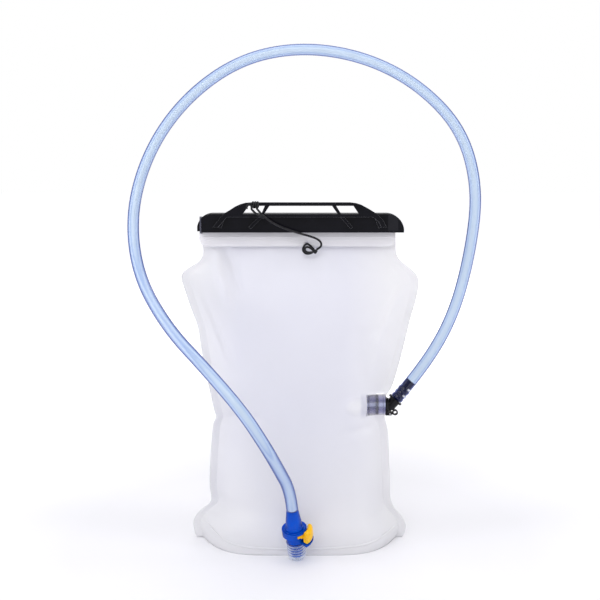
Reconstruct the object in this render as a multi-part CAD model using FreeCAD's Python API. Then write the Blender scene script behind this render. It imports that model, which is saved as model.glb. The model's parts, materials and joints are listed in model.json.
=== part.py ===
import FreeCAD, Part
import math
import os

# A hydration bladder that stands on its gusseted base, in millimetres.
# +X is to the right, where the hose port is, +Y is to the back and +Z is up.
# The origin is the middle of the base's footprint, on the floor.

V = FreeCAD.Vector
X_AXIS = V(1, 0, 0)
Y_AXIS = V(0, 1, 0)
Z_AXIS = V(0, 0, 1)

# ---- driving dimensions ----
film = 0.8                  # thickness of one wall of the bag, welded layers included
mouth_left = -85.3          # the two ends of the folded mouth
mouth_right = 81.0
neck_top = 268.0            # where the mouth band is welded to the two walls
neck_shift = 1.0            # the neck runs up the rear side of the slider's slot
base_depth = 43.0           # half the depth of the open base
gusset_floor = 6.0          # underside of the gusset film above the floor

slider_bottom = 271.4
slider_height = 16.0
slider_half = 88.0
slider_depth = 14.0
slider_wall = 1.8
slot_width = 5.8
lip_height = 2.0
slider_cap = 4.0            # thickness of the closed right end
slider_edge = 1.2           # rounding of the bar's long top edges
front_wall_gap = 4.6        # the front wall starts this far from the open left end

rail_top = 297.0
rail_height = 2.9
handle_depth = 3.0
strut_width = 2.6

port_z = 120.5
port_radius = 9.0
port_inner_end = 57.9
port_outer_end = 73.8
socket_bore = 6.5
seat_bore = 3.3

swivel_radius = 4.1
swivel_bend_x = 78.9
barb_angle = 48.0           # of the elbow's outlet above the horizontal
collar_reach = 7.2          # from the elbow's bend to the hose's end
barb_end = 28.5
barb_ringed = 14.2          # the rings end here and the tail runs on plain

hose_radius = 5.0
hose_bore = 3.5

valve_tip = V(-2.3, -50.5, 1.9)
valve_lean = V(-4.65, -17.0, 52.7)     # from the tip towards the hose
valve_hose_end = 49.3       # distance of the hose's end from the tip
hose_last_run = 19.0        # the hose's last stretch lies on the valve's axis

cord_radius = 0.9           # of the slider's tether

# ---- small helpers ----


def box(x0, x1, y0, y1, z0, z1):
    return Part.makeBox(x1 - x0, y1 - y0, z1 - z0, V(x0, y0, z0))


def rod(radius, start, axis, length):
    return Part.makeCylinder(radius, length, start, axis)


def ring_x(outer, inner, x0, x1):
    """A tube on the port's axis."""
    centre = V(x0, 0, port_z)
    return rod(outer, centre, X_AXIS, x1 - x0).cut(rod(inner, centre, X_AXIS, x1 - x0))


def prism(points, direction):
    """A closed polygon, swept straight."""
    return Part.Face(Part.makePolygon(points + [points[0]])).extrude(direction)


def plate_xz(outline, y0, y1):
    """A flat plate parallel to XZ, from (x, z) points."""
    return prism([V(x, y0, z) for x, z in outline], V(0, y1 - y0, 0))


def revolved(profile, origin, axis, side, angle=360.0):
    """A profile of (radius, height) points, turned about an axis."""
    points = [origin + side * r + axis * h for r, h in profile]
    face = Part.Face(Part.makePolygon(points + [points[0]]))
    return face.revolve(origin, axis, angle)


def union(shapes):
    return shapes[0].multiFuse(shapes[1:]).removeSplitter()


nodes = {}

# ---- bag: two walls, gusset, mouth band ----

# Height, half width to the weld's outer edge, half depth, fullness of the section.
BAG_SECTIONS = [
    (0.0, 94.0, 43.0, 5.0),
    (9.0, 94.0, 42.6, 5.0),
    (18.0, 92.5, 41.5, 4.6),
    (27.0, 83.5, 39.5, 4.2),
    (38.0, 79.0, 37.0, 3.8),
    (62.0, 77.5, 32.0, 3.2),
    (90.0, 76.0, 28.0, 2.9),
    (118.0, 76.5, 25.5, 2.7),
    (142.0, 80.5, 24.0, 2.6),
    (168.0, 87.0, 22.0, 2.5),
    (192.0, 92.0, 19.5, 2.4),
    (212.0, 98.0, 16.5, 2.4),
    (226.0, 101.5, 13.0, 2.4),
    (236.0, 99.0, 9.6, 2.4),
    (243.0, 89.0, 6.8, 2.4),
    (250.0, 83.0, 4.2, 2.4),
    (259.0, 82.0, 1.6, 2.4),
    (neck_top, 82.0, film, 2.4),
]
SECTION_POINTS = 13


def neck_offset(z):
    """The neck moves back a little, so that its fold fits the slider's slot."""
    start = 240.0
    if z <= start:
        return 0.0
    return neck_shift * (z - start) / (neck_top - start)


def weld_width(z):
    """Width of the flat side weld, wider in the ears of the base."""
    return 8.0 if z < 20.0 else 6.0


def wall_section(z, half, depth, fullness, side):
    """The closed outline of one wall at one height; side is -1 in front and 1 behind."""
    inner_half = half - weld_width(z)
    shift = neck_offset(z)

    def curve(extra):
        points = []
        for i in range(SECTION_POINTS):
            t = -1.0 + 2.0 * i / (SECTION_POINTS - 1)
            x = inner_half * math.sin(t * math.pi / 2.0)
            bulge = (depth - film) * (1.0 - abs(x / inner_half) ** fullness)
            points.append(V(x, shift + side * (bulge + extra), z))
        spline = Part.BSplineCurve()
        spline.interpolate(points)
        return spline.toShape()

    def flat(x0, x1, y0, y1):
        return Part.makeLine(V(x0, shift + side * y0, z), V(x1, shift + side * y1, z))

    return Part.Wire([
        flat(-half, -inner_half, 0.0, 0.0),
        curve(0.0),
        flat(inner_half, half, 0.0, 0.0),
        flat(half, half, 0.0, film),
        flat(half, inner_half, film, film),
        curve(film),
        flat(-inner_half, -half, film, film),
        flat(-half, -half, film, 0.0),
    ])


def bag_wall(side):
    wires = [wall_section(z, half, depth, fullness, side) for z, half, depth, fullness in BAG_SECTIONS]
    wall = Part.makeLoft(wires, True, False)
    around_port = rod(port_radius + 0.3, V(45, 0, port_z), X_AXIS, 45)
    return wall.cut(around_port)


nodes["front_panel"] = bag_wall(-1)
nodes["rear_panel"] = bag_wall(1)


def base_footprint(inset, z):
    """The outline of the base, inside the walls."""
    half = 94.0 - weld_width(z) - inset
    depth = base_depth - film - inset
    front = []
    rear = []
    for i in range(SECTION_POINTS):
        t = -1.0 + 2.0 * i / (SECTION_POINTS - 1)
        x = half * math.sin(t * math.pi / 2.0)
        y = depth * (1.0 - abs(x / half) ** 5.0) + 0.4
        front.append(V(x, -y, z))
        rear.append(V(-x, y, z))
    edges = []
    for points in (front, rear):
        spline = Part.BSplineCurve()
        spline.interpolate(points)
        edges.append(spline.toShape())
    edges.insert(1, Part.makeLine(front[-1], rear[0]))
    edges.append(Part.makeLine(rear[-1], front[0]))
    return Part.Face(Part.Wire(edges))


def gusset():
    """A film that closes the base from below, with its rim turned down to the floor."""
    block = base_footprint(1.4, 0.0).extrude(V(0, 0, gusset_floor + film))
    hollow = base_footprint(1.4 + film, 0.0).extrude(V(0, 0, gusset_floor))
    return block.cut(hollow)


nodes["base_gusset"] = gusset()

fold_top = 284.5
leg_gap = 0.3               # half the gap between the two legs of the fold
leg_outer = 1.7
flap_bottom = 259.4
flap_flare = 7.5
tether_hole_x = 6.8
tether_hole_z = 262.6
tether_hole_radius = 2.5


def mouth_band():
    """The mouth's stiffer film, folded forwards over itself and hanging down in front."""
    profile = [
        (leg_outer, neck_top), (leg_outer, fold_top - 1.4), (0.9, fold_top), (-0.9, fold_top),
        (-leg_outer, fold_top - 1.4), (-leg_outer, 272.6), (-2.4, 270.0), (-flap_flare, flap_bottom),
        (-flap_flare + 1.4, flap_bottom), (-1.0, 270.3), (-leg_gap, 272.8), (-leg_gap, fold_top - 2.0),
        (leg_gap, fold_top - 2.0), (leg_gap, neck_top),
    ]
    band = prism([V(mouth_left, y, z) for y, z in profile], V(mouth_right - mouth_left, 0, 0))
    corner = 8.0
    outline = box(mouth_left, mouth_right, -20, 20, flap_bottom, fold_top)
    edges = [e for e in outline.Edges if abs(e.BoundBox.XLength) + abs(e.BoundBox.ZLength) < 1e-6]
    rounded = outline.makeFillet(corner, [e for e in edges if e.BoundBox.ZMax < flap_bottom + 1])
    rear_leg = box(mouth_left, mouth_right, 0, 20, neck_top, fold_top)
    hole = rod(tether_hole_radius, V(tether_hole_x, -20, tether_hole_z), Y_AXIS, 19.8)
    return band.common(rounded.fuse(rear_leg)).cut(hole)


nodes["mouth_band"] = mouth_band()

rail_left = mouth_left + 3.0
rail_right = mouth_right - 3.0
rail_outer = 4.7
rail_low = 274.0
rail_high = 279.6
nodes["mouth_rail_front"] = box(rail_left, rail_right, -rail_outer, -leg_outer, rail_low, rail_high)
nodes["mouth_rail_rear"] = box(rail_left, rail_right, leg_outer, rail_outer, rail_low, rail_high)

# ---- slider: channel and hanging handle ----


def rounded_corner(start, middle, end):
    return Part.Arc(start, middle, end).toShape()


def slider_bar():
    """A channel with lips, open at its left end, where its front wall stops short."""
    bottom = slider_bottom
    top = bottom + slider_height
    y = -slider_depth / 2
    left = -slider_half
    right = slider_half
    outline = Part.Wire([
        Part.makeLine(V(left, y, bottom), V(left, y, top - 12)),
        rounded_corner(V(left, y, top - 12), V(left + 4.2, y, top - 4.0), V(left + 13, y, top)),
        Part.makeLine(V(left + 13, y, top), V(right - 14, y, top)),
        rounded_corner(V(right - 14, y, top), V(right - 4.4, y, top - 4.2), V(right, y, top - 13)),
        Part.makeLine(V(right, y, top - 13), V(right, y, bottom)),
        Part.makeLine(V(right, y, bottom), V(left, y, bottom)),
    ])
    bar = Part.Face(outline).extrude(V(0, slider_depth, 0))
    long_edges = [e for e in bar.Edges if e.BoundBox.XLength > slider_half and e.BoundBox.ZMin > bottom + 1]
    bar = bar.makeFillet(slider_edge, long_edges)
    half_cavity = slider_depth / 2 - slider_wall
    cavity_top = top - slider_wall - 0.2
    cavity = box(left - 5, right - slider_cap, -half_cavity, half_cavity, bottom + lip_height, cavity_top)
    slot = box(left - 5, right - slider_cap, -slot_width / 2, slot_width / 2, bottom - 1, bottom + 3)
    open_front = box(left - 5, left + front_wall_gap, y - 1, half_cavity, bottom - 1, cavity_top)
    return bar.cut(cavity).cut(slot).cut(open_front)


def slanted_bar(x_top, z_top, x_foot, z_foot, width):
    """A straight rib of the handle between two points of the XZ plane."""
    along = V(x_foot - x_top, 0, z_foot - z_top)
    side = V(-along.z, 0, along.x).normalize() * (width / 2)
    a = V(x_top, 0, z_top)
    b = V(x_foot, 0, z_foot)
    corners = [a + side, b + side, b - side, a - side]
    return [(p.x, p.z) for p in corners]


def hanging_handle():
    """A flat frame on the front of the bar, whose legs run down the bar's face."""
    front = -slider_depth / 2 - handle_depth
    back = -slider_depth / 2
    bar_top = slider_bottom + slider_height
    rail_bottom = rail_top - rail_height
    outer = [
        (-73.5, 276.2), (-64.4, 287.4), (-59.0, 290.6), (-54.6, 293.4), (-50.2, 295.4), (-46.0, 296.6),
        (-41.0, rail_top), (42.0, rail_top), (47.0, 296.4), (51.5, 295.0), (57.5, 291.8), (65.0, 287.2),
        (70.0, 282.0), (73.0, 276.0), (68.6, 276.0), (66.0, 281.0), (61.5, 284.6), (-61.5, 284.6),
        (-69.0, 276.2),
    ]
    frame = plate_xz(outer, front, back)
    holes = [
        [(-48.0, bar_top), (-32.5, bar_top), (-29.6, rail_bottom), (-43.0, rail_bottom)],
        [(-30.0, bar_top), (31.6, bar_top), (26.8, rail_bottom), (-25.6, rail_bottom)],
        [(34.6, bar_top), (49.4, bar_top), (44.8, rail_bottom), (30.4, rail_bottom)],
    ]
    for hole in holes:
        frame = frame.cut(plate_xz(hole, front - 1, back + 1))
    rib_foot = 275.4
    ribs = [
        slanted_bar(-31.4, bar_top - 1.0, -42.4, rib_foot, strut_width),
        slanted_bar(34.0, bar_top - 1.0, 43.6, rib_foot, strut_width),
        slanted_bar(-63.4, bar_top - 1.0, -67.8, rib_foot, strut_width),
        slanted_bar(63.4, bar_top - 1.0, 67.4, rib_foot, strut_width),
    ]
    rib_solids = [plate_xz(rib, front + 1.0, back) for rib in ribs]
    return union([frame] + rib_solids)


nodes["slider_bar"] = slider_bar()
nodes["hanging_handle"] = hanging_handle()

# ---- check valve and port in the right side weld ----


spring_start = 47.0
spring_end = 51.7
spring_turns = 4


def valve_cage():
    """The clear stepped nozzle inside the bag, with the check valve's chamber."""
    steps = [(5.2, 39.0, 45.5), (7.4, 45.5, 53.5), (port_radius - 0.4, 53.5, port_inner_end)]
    body = union([rod(r, V(x0, 0, port_z), X_AXIS, x1 - x0) for r, x0, x1 in steps])
    chamber = rod(5.6, V(46.2, 0, port_z), X_AXIS, 12)
    throat = rod(2.9, V(38, 0, port_z), X_AXIS, 9)
    return body.cut(chamber).cut(throat)


def valve_poppet():
    head = rod(4.9, V(52.3, 0, port_z), X_AXIS, 1.7)
    nose = rod(2.6, V(54.0, 0, port_z), X_AXIS, 0.8)
    stem = rod(1.4, V(42.0, 0, port_z), X_AXIS, 10.5)
    return union([head, nose, stem])


def port_socket():
    """The tinted socket that holds the plug; the walls of the bag are welded round it."""
    body = rod(port_radius, V(port_inner_end, 0, port_z), X_AXIS, port_outer_end - port_inner_end)
    rim = rod(port_radius + 0.35, V(port_outer_end - 1.2, 0, port_z), X_AXIS, 1.2)
    bore = rod(socket_bore, V(59.4, 0, port_z), X_AXIS, 20)
    seat = rod(seat_bore, V(port_inner_end - 1, 0, port_z), X_AXIS, 5)
    catch_channel = box(69.2, 80, -2.6, 2.6, port_z - 8.4, port_z)
    return body.fuse(rim).cut(bore).cut(seat).cut(catch_channel)


nodes["valve_cage"] = valve_cage()
nodes["valve_poppet"] = valve_poppet()
nodes["poppet_seal"] = ring_x(4.7, 2.7, 54.0, 54.8)
nodes["port_socket"] = port_socket()

# ---- plug with its catch ----

o_ring_x = 68.0
lever_eye = V(82.9, 0, 113.8)
latch_pivot_x = 78.2
latch_pivot_z = 113.2


def plug_spigot():
    nose = rod(2.9, V(54.95, 0, port_z), X_AXIS, 5)
    barrel = rod(6.2, V(59.7, 0, port_z), X_AXIS, 15)
    skirt = revolved(
        [(0, 74.1), (8.9, 74.1), (8.9, 74.5), (7.7, 74.9), (6.6, 75.5), (6.1, 76.3), (6.0, 77.0), (0, 77.0)],
        V(0, 0, port_z), X_AXIS, Z_AXIS)
    ears = [box(74.5, 79.6, y, y + 1.4, 111.9, 114.5) for y in (-4.0, 2.6)]
    roots = [box(74.5, 77.0, y, y + 1.4, 114.0, 117.0) for y in (-4.0, 2.6)]
    body = union([nose, barrel, skirt] + ears + roots)
    flow = rod(1.9, V(54, 0, port_z), X_AXIS, 20)
    side_flow = box(54, 56.6, -0.7, 0.7, port_z - 4, port_z + 4)
    swivel = rod(swivel_radius + 0.1, V(65.9, 0, port_z), X_AXIS, 15)
    groove = ring_x(7.0, 4.95, o_ring_x - 0.85, o_ring_x + 0.85)
    catch_slot = box(69.0, 78, -2.4, 2.4, port_z - 9.5, port_z - 5.0)
    pin_hole = rod(0.62, V(latch_pivot_x, -5, latch_pivot_z), Y_AXIS, 10)
    return body.cut(flow).cut(side_flow).cut(swivel).cut(groove).cut(catch_slot).cut(pin_hole)


def torus_x(major, minor, x):
    return Part.makeTorus(major, minor, V(x, 0, port_z), X_AXIS)


def release_lever():
    """A tongue in the socket's channel, a finger tab, and an eye for a lanyard."""
    tongue = box(69.8, 77.0, -2.0, 2.0, 112.9, 114.2)
    bump = box(69.8, 71.2, -2.0, 2.0, 112.35, 113.0)
    tab = box(76.8, 81.2, -2.2, 2.2, 112.3, 114.3)
    eye = rod(2.5, lever_eye - Y_AXIS * 1.4, Y_AXIS, 2.8)
    eye_hole = rod(1.3, lever_eye - Y_AXIS * 3, Y_AXIS, 6)
    pin_hole = rod(0.68, V(latch_pivot_x, -5, latch_pivot_z), Y_AXIS, 10)
    return union([tongue, bump, tab, eye]).cut(eye_hole).cut(pin_hole)


nodes["plug_spigot"] = plug_spigot()
nodes["plug_o_ring"] = torus_x(5.7, 0.72, o_ring_x)
nodes["latch_pin"] = rod(0.6, V(latch_pivot_x, -4.0, latch_pivot_z), Y_AXIS, 8.0)
nodes["release_lever"] = release_lever()

# ---- elbow ----

outlet = V(math.cos(math.radians(barb_angle)), 0, math.sin(math.radians(barb_angle)))
bend = V(swivel_bend_x, 0, port_z)
swivel_ring_x = 70.5


def barb(start, axis, core, ring, first, ringed, last, pitch):
    """A hose barb: saw-tooth rings from first to ringed along the axis, then a plain core."""
    side = V(0, 1, 0).cross(axis).normalize()
    profile = [(0.0, 0.0), (core, 0.0)]
    height = first
    while height + pitch <= ringed + 0.01:
        profile += [(core, height), (ring, height), (core, height + pitch * 0.7)]
        height += pitch
    profile += [(core, last), (core - 0.6, last + 0.8), (0.0, last + 0.8)]
    return revolved(profile, start, axis, side)


def elbow_fitting():
    stub = rod(swivel_radius, V(66.2, 0, port_z), X_AXIS, 13)
    neck = rod(4.9, V(77.3, 0, port_z), X_AXIS, swivel_bend_x - 77.3)
    heel = Part.makeSphere(5.0, bend)
    arm = rod(4.9, bend, outlet, collar_reach - 1.6)
    collar = rod(6.7, bend + outlet * (collar_reach - 1.8), outlet, 1.6)
    tail = barb(bend + outlet * (collar_reach - 0.2), outlet, 3.45, 3.95, 1.6,
                barb_ringed, barb_end - collar_reach, 4.2)
    outer = union([neck, heel, arm, collar, tail])
    outer = outer.cut(box(60, 77.3, -20, 20, port_z - 20, port_z + 20))
    body = union([stub, outer])
    inlet_bore = rod(2.0, V(60, 0, port_z), X_AXIS, swivel_bend_x - 60)
    outlet_bore = rod(2.0, bend, outlet, 40)
    turn = Part.makeSphere(2.0, bend)
    groove = ring_x(6.0, 3.2, swivel_ring_x - 0.6, swivel_ring_x + 0.6)
    return body.cut(inlet_bore).cut(outlet_bore).cut(turn).cut(groove)


nodes["elbow_fitting"] = elbow_fitting()
nodes["swivel_o_ring"] = torus_x(3.68, 0.46, swivel_ring_x)

# ---- drinking hose ----

valve_axis = V(valve_lean).normalize()
hose_start = bend + outlet * (collar_reach + 0.2)
hose_finish = valve_tip + valve_axis * valve_hose_end

HOSE_ROUTE = [
    hose_start,
    V(106, 0, 152),
    V(132.5, 7, 196),
    V(148, 17, 251),
    V(154.5, 25, 307),
    V(140.5, 33, 358),
    V(103, 41, 397),
    V(55, 45, 421),
    V(0, 46, 429),
    V(-53, 43, 418),
    V(-99.5, 39, 385),
    V(-131.5, 31, 340),
    V(-146.5, 19, 287),
    V(-138.5, -6, 236),
    V(-109.5, -47, 197.5),
    V(-73, -82, 168),
    V(-45, -97, 139),
    V(-27, -95, 110),
    V(-17.5, -84, 89),
    hose_finish + valve_axis * hose_last_run,
    hose_finish,
]


def rounded_path(route, name):
    """Straight runs joined by tangent arcs, each as large as its two runs allow."""
    edges = []
    radii = []
    here = route[0]
    for before, corner, after in zip(route, route[1:], route[2:]):
        run_in = (corner - before).Length
        run_out = (after - corner).Length
        into = (corner - before).normalize()
        out = (after - corner).normalize()
        turn = into.getAngle(out)
        back = 0.45 * min(run_in, run_out)
        radius = back / math.tan(turn / 2)
        start = corner - into * back
        end = corner + out * back
        centre = corner + (out - into).normalize() * (radius / math.cos(turn / 2))
        middle = centre + (corner - centre).normalize() * radius
        edges.append(Part.LineSegment(here, start).toShape())
        edges.append(Part.Arc(start, middle, end).toShape())
        radii.append(radius)
        here = end
    edges.append(Part.LineSegment(here, route[-1]).toShape())
    path = Part.Wire(edges)
    print(name, "length %.1f mm, radii" % path.Length, " ".join("%.0f" % r for r in radii))
    return path


def tube(path, radius, name):
    """A round rod along a path, tested against its section times its length."""
    start = path.OrderedVertexes[0].Point
    first = path.OrderedEdges[0]
    direction = first.tangentAt(first.FirstParameter)
    circle = Part.Wire(Part.makeCircle(radius, start, direction))
    solid = path.makePipeShell([circle], True, True)
    share = solid.Volume / (math.pi * radius ** 2 * path.Length)
    print(name, "radius %.2f: volume over section times length %.4f" % (radius, share))
    return solid


hose_path = rounded_path(HOSE_ROUTE, "drinking_hose")
hose_outside = tube(hose_path, hose_radius, "drinking_hose")
hose_inside = tube(hose_path, hose_bore, "drinking_hose bore")
nodes["drinking_hose"] = hose_outside.cut(hose_inside)


def poppet_spring():
    """A round-wire spring round the poppet's stem, between the chamber's step and the head."""
    wire_radius = 0.35
    coil_radius = 3.6
    steps = 8
    route = []
    for i in range(spring_turns * steps + 1):
        turn = 2 * math.pi * i / steps
        x = spring_start + (spring_end - spring_start) * i / (spring_turns * steps)
        route.append(V(x, coil_radius * math.cos(turn), port_z + coil_radius * math.sin(turn)))
    return tube(rounded_path(route, "poppet_spring"), wire_radius, "poppet_spring")


nodes["poppet_spring"] = poppet_spring()

# ---- bite valve, on its own leaning axis ----

valve_side = Y_AXIS.cross(valve_axis).normalize()      # roughly to the right
web_start = -76.0           # the lever's web round the axis; 0 is to the right, -90 to the front
web_end = 14.0
lever_turn = 90.0
disc_radius = 10.5
disc_top = 30.3
body_radius = 7.4
body_bottom = 17.4
skirt_bottom = 24.8
skirt_top = 28.7


def turned(profile, start=0.0, angle_span=360.0):
    """A profile of (radius, height above the tip) points, turned about the valve's axis."""
    side = FreeCAD.Rotation(valve_axis, start).multVec(valve_side)
    return revolved(profile, valve_tip, valve_axis, side, angle_span)


def bite_valve_body():
    """Barb, cone, dished disc and the sleeve that the shut-off lever turns on."""
    profile = [
        (2.2, 17.7), (4.6, 17.7), (4.6, skirt_top + 0.1), (disc_radius, skirt_top + 0.1),
        (disc_radius, disc_top), (9.9, disc_top), (9.3, 29.7), (7.9, 29.4), (7.5, 30.0), (7.5, 31.4),
        (7.0, 32.2), (6.8, 33.6), (6.5, 38.0), (5.0, valve_hose_end - 0.3), (3.3, valve_hose_end - 0.3),
        (3.3, 52.0), (3.8, 52.0), (3.3, 55.0), (3.8, 55.0), (3.3, 58.0), (2.9, 60.0), (2.2, 60.0),
    ]
    groove = turned([(3.4, 20.2), (6.0, 20.2), (6.0, 21.8), (3.4, 21.8)])
    return turned(profile).cut(groove)


def lever_housing():
    """The lower shell and skirt, the lever's window, and the arm that guards the lever."""
    shell = turned([
        (5.0, body_bottom), (6.9, body_bottom), (body_radius, body_bottom + 0.6), (body_radius, skirt_bottom),
        (disc_radius, skirt_bottom), (disc_radius, skirt_top), (9.7, skirt_top), (9.7, skirt_bottom + 0.9),
        (6.7, skirt_bottom + 0.9), (6.7, 19.0), (5.0, 19.0),
    ])
    window = turned([(6.6, 24.0), (12.0, 21.0), (12.0, 29.5), (6.6, 29.5)], web_start - 3.0,
                    web_end - web_start + lever_turn + 6.0)
    arm = turned([(7.0, 17.4), (9.5, 17.6), (14.6, 18.2), (15.2, 18.7), (15.2, 19.6), (7.0, 19.6)],
                 -53.0, 58.0)
    return union([shell.cut(window), arm])


def shutoff_lever():
    """The hub, the ramped web that comes out of the window, and the tall wing for a finger."""
    hub = turned([(4.9, 19.3), (6.4, 19.3), (6.4, 28.4), (4.9, 28.4)])
    spokes = turned([(6.0, 25.9), (8.2, 25.9), (8.2, 28.4), (6.0, 28.4)], web_start, web_end - web_start)
    steps = 5
    span = (web_end - web_start) / steps
    webs = []
    for i in range(steps):
        low = 27.3 - (i + 1) * 1.25
        start = web_start + i * span
        webs.append(turned([(7.8, low), (10.2, low), (10.2, 28.4), (7.8, 28.4)], start, span))
    wing = turned([(10.0, 20.3), (13.6, 20.3), (14.9, 21.4), (15.4, 23.6), (15.3, 28.4), (14.7, 30.6),
                   (13.4, 31.9), (12.0, 31.6), (11.1, 30.0), (11.0, 28.0), (10.0, 28.0)], -46.0, 54.0)
    return union([hub, spokes, wing] + webs)


def flow_core():
    """The ribbed core that holds the mouthpiece in shape."""
    first_rib = 3.6
    rib_pitch = 3.4
    ribs = 4
    profile = [(2.0, 2.4), (4.0, 2.4)]
    for i in range(ribs):
        rib = first_rib + i * rib_pitch
        profile += [(4.2, rib), (5.3, rib + 0.3), (5.3, rib + 1.3), (4.2, rib + 1.6)]
    profile += [(4.2, 17.3), (2.0, 17.3)]
    return turned(profile)


def mouthpiece():
    """A soft cap with a slit, pushed over the core."""
    cap = turned([(0, 0.0), (4.4, 0.0), (6.2, 0.7), (7.2, 2.2), (7.6, 4.6), (7.6, 15.6), (7.9, 16.2),
                  (7.9, 17.1), (5.5, 17.1), (5.5, 2.3), (4.0, 1.5), (0, 1.5)])
    slit = Part.makeBox(8.0, 0.4, 3.0, V(-4.0, -0.2, -0.5))
    slit.Placement = FreeCAD.Placement(valve_tip, FreeCAD.Rotation(Z_AXIS, valve_axis)).multiply(slit.Placement)
    return cap.cut(slit)


nodes["bite_valve_body"] = bite_valve_body()
nodes["lever_housing"] = lever_housing()
nodes["shutoff_lever"] = shutoff_lever()
nodes["shutoff_o_ring"] = Part.makeTorus(4.15, 0.6, valve_tip + valve_axis * 21.0, valve_axis)
nodes["flow_core"] = flow_core()
nodes["mouthpiece"] = mouthpiece()

# ---- tether from the handle to the flap ----

hitch_x = -40.6
hitch_width = 5.4
rail_centre = V(0, -slider_depth / 2 - handle_depth / 2, rail_top - rail_height / 2)
hitch_inner = 2.4
hitch_outer = hitch_inner + 2 * cord_radius


def tether_hitch():
    start = V(hitch_x, rail_centre.y, rail_centre.z)
    outside = rod(hitch_outer, start, X_AXIS, hitch_width)
    return outside.cut(rod(hitch_inner, start, X_AXIS, hitch_width))


TETHER_ROUTE = [
    V(-36.4, -13.0, 292.4),
    V(-33.6, -13.9, 289.0),
    V(-29.6, -14.2, 284.8),
    V(-21.5, -14.1, 279.2),
    V(-11, -13.9, 274.6),
    V(0, -13.2, 271.2),
    V(8.6, -12.6, 268.8),
    V(14.0, -12.0, 266.8),
    V(17.4, -11.5, 264.2),
    V(18.2, -11.0, 261.2),
    V(16.6, -10.5, 258.8),
    V(14.0, -10.1, 257.4),
]

tether_path = rounded_path(TETHER_ROUTE, "tether_cord")
nodes["tether_hitch"] = tether_hitch()
nodes["tether_cord"] = tube(tether_path, cord_radius, "tether_cord")

loop_radius = 4.5
loop_centre = V(tether_hole_x + 0.2, -5.9, tether_hole_z - loop_radius)
loop_normal = V(math.sin(math.radians(45)), -math.cos(math.radians(45)), 0)
nodes["tether_loop"] = Part.makeTorus(loop_radius, cord_radius, loop_centre, loop_normal)
nodes["tether_knot"] = Part.makeSphere(1.8, V(12.6, -9.9, 255.4))

# ---- export ----

os.makedirs("parts", exist_ok=True)
for name, shape in nodes.items():
    if not shape.isValid():
        print("invalid shape:", name)
    if shape.ShapeType == "Compound" and len(shape.Solids) == 1:
        shape = shape.Solids[0]
    shape.exportStep("parts/" + name + ".step")
print(len(nodes), "nodes")
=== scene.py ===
import json
import math

import bpy
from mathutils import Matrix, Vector, noise


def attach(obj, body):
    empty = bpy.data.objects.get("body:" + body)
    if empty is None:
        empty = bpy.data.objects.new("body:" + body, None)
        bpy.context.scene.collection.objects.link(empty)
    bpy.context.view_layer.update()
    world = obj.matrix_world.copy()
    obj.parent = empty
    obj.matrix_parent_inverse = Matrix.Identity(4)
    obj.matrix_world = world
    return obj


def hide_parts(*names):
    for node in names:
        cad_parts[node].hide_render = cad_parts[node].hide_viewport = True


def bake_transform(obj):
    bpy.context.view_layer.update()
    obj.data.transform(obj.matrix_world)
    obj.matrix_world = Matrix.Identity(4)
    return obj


# A hydration bladder on a pale floor. Metres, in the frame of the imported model:
# +X to the hose port, +Y to the back, +Z up, origin in the middle of the base.

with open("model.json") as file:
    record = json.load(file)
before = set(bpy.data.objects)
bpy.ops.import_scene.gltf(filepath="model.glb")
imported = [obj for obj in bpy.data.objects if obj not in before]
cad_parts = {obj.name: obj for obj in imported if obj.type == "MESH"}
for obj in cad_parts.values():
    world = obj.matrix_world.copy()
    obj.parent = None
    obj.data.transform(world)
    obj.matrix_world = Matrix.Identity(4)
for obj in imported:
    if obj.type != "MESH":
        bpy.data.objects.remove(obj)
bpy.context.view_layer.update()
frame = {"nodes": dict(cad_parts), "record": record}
MM = 0.001


def mm(*values):
    return Vector([v * MM for v in values])


# Millimetres, as mm() takes them.
ALL_DEPTHS = 1000                      # half depth of a mask that is the same from front to back
PORT_Z = 120.5
FILM_PORT_Z = PORT_Z + 1.7             # where the camera sees the port through the front film

# Metres.
SOCKET_LEFT = 0.0579                   # the port socket's two ends
SOCKET_RIGHT = 0.0738
HOSE_START = mm(83.9, 0, 126.0)
BARB_LENGTH = 0.021                    # how far the elbow's barb fills the hose
VALVE_TIP = frame["nodes"]["mouthpiece"].matrix_world.inverted() @ mm(-2.3, -50.5, 1.9)
VALVE_AXIS = Vector((-0.08368, -0.30594, 0.94837))
RIB_PITCH = 0.0027
RIBS_FOOT = 0.0045                     # height of the lowest rib over the mouthpiece's tip

# Colours.
# painted light on the film where the clear nozzle lies behind it
PAINTED_NOZZLE_LIGHT = (0.97, 0.97, 0.99)
NOZZLE_RIM = (0.66, 0.66, 0.78)
BLACK = (0.003, 0.003, 0.005)
LIGHTER_BLACK = (0.005, 0.005, 0.008)


# ---- camera and light ----

CAMERA_PLACE = mm(0, -927.4, 351.4)
LOOKS_DOWN = 8.5                       # degrees
LENS = 65.5                            # millimetres, over a sensor of 36


def make_camera():
    data = bpy.data.cameras.new("camera")
    data.lens = LENS
    data.sensor_width = 36.0
    camera = bpy.data.objects.new("camera", data)
    camera.location = CAMERA_PLACE
    camera.rotation_euler = (math.radians(90.0 - LOOKS_DOWN), 0.0, 0.0)
    bpy.context.scene.collection.objects.link(camera)
    bpy.context.scene.camera = camera


def make_area_light(name, place, target, size, power):
    data = bpy.data.lights.new(name, "AREA")
    data.shape = "RECTANGLE"
    data.size, data.size_y = size
    data.energy = power
    light = bpy.data.objects.new(name, data)
    light.location = place
    light.rotation_euler = (Vector(target) - Vector(place)).to_track_quat("-Z", "Y").to_euler()
    bpy.context.scene.collection.objects.link(light)


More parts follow.
